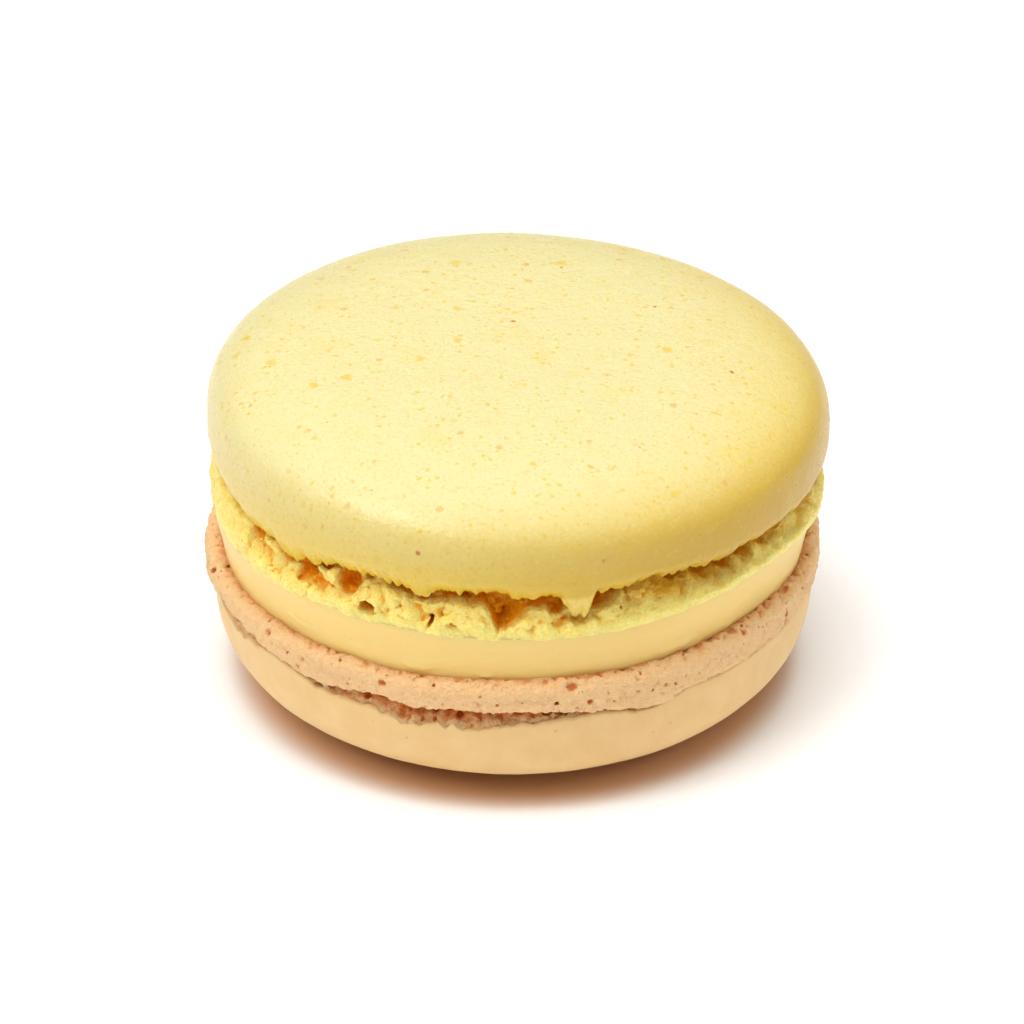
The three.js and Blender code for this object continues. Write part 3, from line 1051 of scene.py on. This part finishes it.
def lemon_crust(context):
    """Lemon skin: painted paler on top and at the left where light and sheen fall, yellower down its
    shoulder, with painted shade low at the right, and almond flecks.
    """
    colours = context.scene.macaron_colours
    finish = Finish(
        "lemon_crust",
        Subsurface_Weight=0.3,
        Subsurface_Radius=(1.0, 0.6, 0.25),
        Subsurface_Scale=0.0008,
        Specular_IOR_Level=0.55,
    )
    point = finish.point
    place = Polar(finish, point)
    level = place.z
    across = place.x / RADIUS
    cloud = finish.grain(point, 5.0, 2.0, seed=31)
    # Painted light and sheen: the skin turns to the pale crust colour towards the top and the left,
    # where the light falls.
    painted_top_light = finish.ramp(level + cloud * 0.6 - across * 1.15, LIP_Z + 0.4, TOP_Z - 1.0) ** 1.3
    base = finish.blend(painted_top_light, colours.lemon_shoulder[:], colours.lemon_crust[:])
    # Painted shade: the skin darkens low at the right, away from the light.
    painted_right_shade = finish.ease(across, -0.5, 0.9) * finish.ease(level, TOP_Z - 0.7, LIP_Z + 2.4)
    base = finish.blend(painted_right_shade * 0.8, base, colours.lemon_rim_shade[:])
    patch = finish.ease(finish.grain(point, 2.6, 2.0, seed=29), 0.0, 0.8)
    base = finish.blend(patch * 0.35, base, tint(216, 190, 78))
    fine = finish.grain(point, 0.28, 2.0, seed=32)
    # Pale grain, stronger where the top light is painted.
    pale = finish.ease(fine, 0.0, 0.7) * (0.12 + 0.28 * painted_top_light)
    base = finish.blend(pale, base, tint(226, 214, 158))
    base = finish.blend(finish.ease(fine, -0.05, -0.7) * 0.55, base, tint(204, 166, 52))
    for *spread, strength, colour in LEMON_FLECKS:
        base = finish.blend(flecks(finish, *spread) * strength, base, tint(*colour))
    crumbs = finish.grain(point, 0.45, 3.0, seed=27)
    torn = finish.ease(lip_line(finish, place.azimuth) - level, -0.15, 0.35)
    base = finish.blend(torn * 0.5, base, colours.lemon_foam[:])
    # Painted shade: the lip's torn crumbs turn golden orange where they dip.
    pits = torn * finish.ease(crumbs, 0.05, -0.45)
    base = finish.blend(pits * 0.8, base, tint(250, 190, 30))
    rough = 0.34 + 0.16 * finish.grain(point, 0.35, 2.0, seed=37)
    height = finish.layers(point, (0.24, 2.0, 38, 0.022), (0.9, 1.0, 39, 0.03))
    height = height + torn * crumbs * 0.16
    return finish.set(Base_Color=base, Roughness=rough, Normal=finish.bumped(height, 1.0))


def lemon_foam(context):
    """Lemon foam: bright outside, with painted shade and bounce light in deep orange and gold where
    it is hollow, in its creases and under the lip.
    """
    colours = context.scene.macaron_colours
    sizes = context.scene.macaron_sizes
    finish = Finish(
        "lemon_foam",
        Subsurface_Weight=0.35,
        Subsurface_Radius=(1.0, 0.75, 0.2),
        Subsurface_Scale=0.0009,
        Roughness=0.5,
        Specular_IOR_Level=0.45,
    )
    point = finish.point
    place = Polar(finish, point)
    lip = lip_level(finish, place.azimuth)
    share = (lip - place.z) / (lip - cream_top(finish, place.azimuth))
    depth = foam_wall(finish, place.azimuth, share, sizes.radius) - place.radius
    depth = depth + finish.grain(point, 0.7, 2.0, seed=40) * 0.2
    # Painted shade and bounce light: the foam turns deep orange the further it lies behind its wall.
    hollow = finish.ease(depth, 0.15, 1.2)
    # Painted shade: the foam turns golden in its creases.
    painted_crease_shade = finish.ease(finish.node("ShaderNodeNewGeometry", output="Pointiness"), 0.5, 0.44)
    mottled = finish.ease(finish.grain(point, 0.7, 2.0, seed=41), -0.1, 0.7)
    fine = finish.grain(point, 0.2, 2.0, seed=42)
    base = finish.blend(mottled * 0.5, colours.lemon_foam[:], tint(250, 208, 74))
    # Grain tone that also paints shade: the same fine noise lowers the surface and darkens it there.
    base = finish.blend(finish.ease(fine, 0.1, -0.6) * 0.5, base, tint(250, 194, 40))
    base = finish.blend(painted_crease_shade * 0.85, base, tint(250, 184, 12))
    # Painted shade: the foam turns golden under the lip's overhang, most on the ribbed ramp at the
    # right.
    cloud = finish.grain(point, 1.0, 2.0, seed=44) * 0.3
    painted_lip_shade = finish.ease(share + cloud, 0.85, 0.35) * (0.15 + 0.75 * webbing(finish, place.azimuth))
    base = finish.blend(painted_lip_shade, base, tint(250, 184, 22))
    base = finish.blend(hollow, base, colours.lemon_cave_shade[:])
    height = fine * 0.07 + finish.grain(point, 0.4, 2.0, seed=43) * 0.08
    return finish.set(Base_Color=base, Normal=finish.bumped(height, 1.0))


def cream_skin(context):
    """Cream: smooth and satin, with faint smears along the band."""
    colours = context.scene.macaron_colours
    finish = Finish(
        "cream_skin",
        Subsurface_Weight=0.35,
        Subsurface_Radius=(1.0, 0.6, 0.3),
        Subsurface_Scale=0.0012,
        Specular_IOR_Level=0.4,
    )
    drawn = finish.vector("MULTIPLY", finish.point, (1.0, 1.0, 3.0))
    smear = finish.ease(finish.grain(drawn, 2.4, 2.0, seed=51), 0.05, 0.6)
    base = finish.blend(smear * 0.5, colours.cream[:], tint(242, 214, 144))
    specks = flecks(finish, 1.6, 0.14, 54, 0.3)
    base = finish.blend(specks * 0.5, base, tint(214, 160, 74))
    rough = 0.42 + 0.1 * finish.grain(drawn, 1.2, 2.0, seed=52)
    height = finish.grain(drawn, 0.9, 2.0, seed=53) * 0.03
    return finish.set(Base_Color=base, Roughness=rough, Normal=finish.bumped(height, 0.6))


PEACH_SCATTER = {
    "Subsurface_Weight": 0.25,
    "Subsurface_Radius": (1.0, 0.5, 0.25),
    "Subsurface_Scale": 0.0007,
}


def peach_foam(context):
    """Peach foam: dried out and matte, with painted shade in rust-brown in its pits, creases and
    crevice.
    """
    colours = context.scene.macaron_colours
    finish = Finish("peach_foam", **PEACH_SCATTER, Roughness=0.8, Specular_IOR_Level=0.3)
    point = finish.point
    place = Polar(finish, point)
    mottled = finish.ease(finish.grain(point, 0.5, 2.0, seed=61), -0.6, 0.6)
    base = finish.blend(mottled * 0.6, colours.peach_foam[:], tint(239, 189, 131))
    # Painted shade: the foam turns rust-brown in its pits and creases.
    painted_crease_shade = finish.ease(finish.node("ShaderNodeNewGeometry", output="Pointiness"), 0.5, 0.43)
    base = finish.blend(painted_crease_shade * 0.85, base, tint(214, 104, 30))
    # Painted shade: the foam turns deep rust towards the crevice behind the roll.
    inward = place.radius + finish.grain(point, 0.5, 2.0, seed=64) * 0.6
    outer, inner = 22.3, 21.3
    deep = finish.ease(inward, outer, inner) * 0.85
    base = finish.blend(deep, base, colours.peach_crevice_shade[:])
    height = finish.layers(point, (0.14, 2.0, 62, 0.09), (0.35, 2.0, 63, 0.14))
    return finish.set(Base_Color=base, Normal=finish.bumped(height, 1.0))


def peach_crust(context):
    """Peach skin: matte and even, with faint mottles."""
    colours = context.scene.macaron_colours
    finish = Finish("peach_crust", **PEACH_SCATTER, Specular_IOR_Level=0.35)
    point = finish.point
    cloud = finish.ease(finish.grain(point, 2.2, 2.0, seed=71), -0.6, 0.6)
    base = finish.blend(cloud * 0.6, colours.peach_crust[:], tint(226, 184, 122))
    fine = finish.ease(finish.grain(point, 0.35, 2.0, seed=76), 0.1, 0.8)
    base = finish.blend(fine * 0.4, base, tint(234, 204, 152))
    base = finish.blend(flecks(finish, 1.3, 0.22, 72, 0.5) * 0.5, base, tint(208, 148, 88))
    rough = 0.55 + 0.1 * finish.grain(point, 0.4, 2.0, seed=73)
    height = finish.layers(point, (0.3, 2.0, 74, 0.014), (1.0, 1.0, 75, 0.025))
    return finish.set(Base_Color=base, Roughness=rough, Normal=finish.bumped(height, 0.8))


# -------------------- stage

CAMERA_ELEVATION = math.radians(31.53)
CAMERA_DISTANCE = 0.28
CAMERA_LENS = 131.6
CAMERA_AIM = Vector((-0.11 * MM, 0.0, 11.7 * MM))
CAMERA_RAISE = 0.165 * MM  # how far the aim is raised, along the picture's upright
FLOOR_WIDTH = 3.0
WORLD_STRENGTH = 0.02


def floor_paper():
    """The floor's pale paper, with a warm shadow painted under the macaron's edge."""
    finish = Finish("floor_paper", Roughness=0.9, Specular_IOR_Level=0.1)
    tone = finish.grain(finish.point, 90.0, 1.0, seed=81) * 0.5 + 0.5
    paper = finish.blend(tone, (0.95, 0.95, 0.95), (0.94, 0.94, 0.94))
    reach = finish.vector("LENGTH", finish.point, output="Value")
    # Painted shadow: the paper turns warm brown under the macaron's edge, standing in for its
    # contact shadow and bounced light.
    under = finish.ease(reach, RADIUS - 0.7, RADIUS - 3.7)
    return finish.set(Base_Color=finish.blend(under * 0.9, paper, tint(216, 166, 120)))


# Soft lights: name, azimuth and height in degrees, width in metres, power in watts, and
# whether skins reflect them.
SOFTBOXES = [
    ("overhead", 0.0, 89.0, 0.3, 2.05, False),
    ("key", -55.0, 50.0, 0.24, 0.93, True),
    ("left", -92.0, 62.0, 0.36, 0.7, False),
    ("front", -20.0, 36.0, 0.36, 0.3, False),
    ("right", 60.0, 54.0, 0.3, 0.5, False),
    ("low_right", 88.0, 18.0, 0.3, 0.46, False),
    ("behind", 180.0, 38.0, 0.3, 0.25, False),
]
SOFTBOX_DISTANCE = 0.5


def softbox(name, azimuth, height, width, power, reflected):
    """A square soft light that points at the macaron."""
    light = bpy.data.lights.new(name, "AREA")
    light.size = width
    light.energy = power
    lamp = bpy.data.objects.new(name, light)
    lamp.visible_glossy = reflected
    turn, tilt = math.radians(azimuth), math.radians(height)
    level = math.cos(tilt)
    direction = Vector((math.sin(turn) * level, -math.cos(turn) * level, math.sin(tilt)))
    lamp.location = CAMERA_AIM + direction * SOFTBOX_DISTANCE
    lamp.rotation_euler = direction.to_track_quat("Z", "Y").to_euler()
    bpy.context.scene.collection.objects.link(lamp)


class MACARON_OT_stage(bpy.types.Operator):
    """Make the floor, the lights and the camera"""

    bl_idname = "macaron.stage"
    bl_label = "Stage"

    def execute(self, context):
        scene = context.scene
        scene.view_settings.view_transform = "Standard"

        half = FLOOR_WIDTH / 2
        mesh = bpy.data.meshes.new("floor")
        corners = [(-half, -half, 0), (half, -half, 0), (half, half, 0), (-half, half, 0)]
        mesh.from_pydata(corners, [], [(0, 1, 2, 3)])
        mesh.materials.append(floor_paper())
        floor = bpy.data.objects.new("floor", mesh)
        scene.collection.objects.link(floor)

        world = bpy.data.worlds.new("studio")
        world.use_nodes = True
        background = world.node_tree.nodes["Background"]
        background.inputs["Color"].default_value = (1.0, 1.0, 1.0, 1.0)
        background.inputs["Strength"].default_value = WORLD_STRENGTH
        scene.world = world

        for row in SOFTBOXES:
            softbox(*row)

        back = Vector((0.0, -math.cos(CAMERA_ELEVATION), math.sin(CAMERA_ELEVATION)))
        upright = Vector((0.0, math.sin(CAMERA_ELEVATION), math.cos(CAMERA_ELEVATION)))
        lens = bpy.data.cameras.new("camera")
        lens.lens = CAMERA_LENS
        camera = bpy.data.objects.new("camera", lens)
        camera.location = CAMERA_AIM + upright * CAMERA_RAISE + back * CAMERA_DISTANCE
        camera.rotation_euler = back.to_track_quat("Z", "Y").to_euler()
        scene.collection.objects.link(camera)
        scene.camera = camera
        return {"FINISHED"}


# -------------------- add-on

OPERATORS = (
    MACARON_OT_stage,
    MACARON_OT_lemon_dome,
    MACARON_OT_lemon_foam,
    MACARON_OT_cream,
    MACARON_OT_peach_foam,
    MACARON_OT_peach_dome,
)


class MACARON_PT_sidebar(bpy.types.Panel):
    """The macaron's pieces, in the order in which they are made"""

    bl_idname = "MACARON_PT_sidebar"
    bl_label = "Macaron"
    bl_space_type = "VIEW_3D"
    bl_region_type = "UI"
    bl_category = "Macaron"

    def draw(self, context):
        for group in (context.scene.macaron_sizes, context.scene.macaron_colours):
            for name in group.__annotations__:
                self.layout.prop(group, name)
        for operator in OPERATORS:
            self.layout.operator(operator.bl_idname)


CLASSES = (MacaronSizes, MacaronColours, *OPERATORS, MACARON_PT_sidebar)


def register():
    for cls in CLASSES:
        bpy.utils.register_class(cls)
    bpy.types.Scene.macaron_sizes = bpy.props.PointerProperty(type=MacaronSizes)
    bpy.types.Scene.macaron_colours = bpy.props.PointerProperty(type=MacaronColours)


def unregister():
    del bpy.types.Scene.macaron_colours
    del bpy.types.Scene.macaron_sizes
    for cls in reversed(CLASSES):
        bpy.utils.unregister_class(cls)


def main():
    register()
    for operator in OPERATORS:
        group, name = operator.bl_idname.split(".")
        getattr(getattr(bpy.ops, group), name)()


if __name__ == "__main__":
    main()
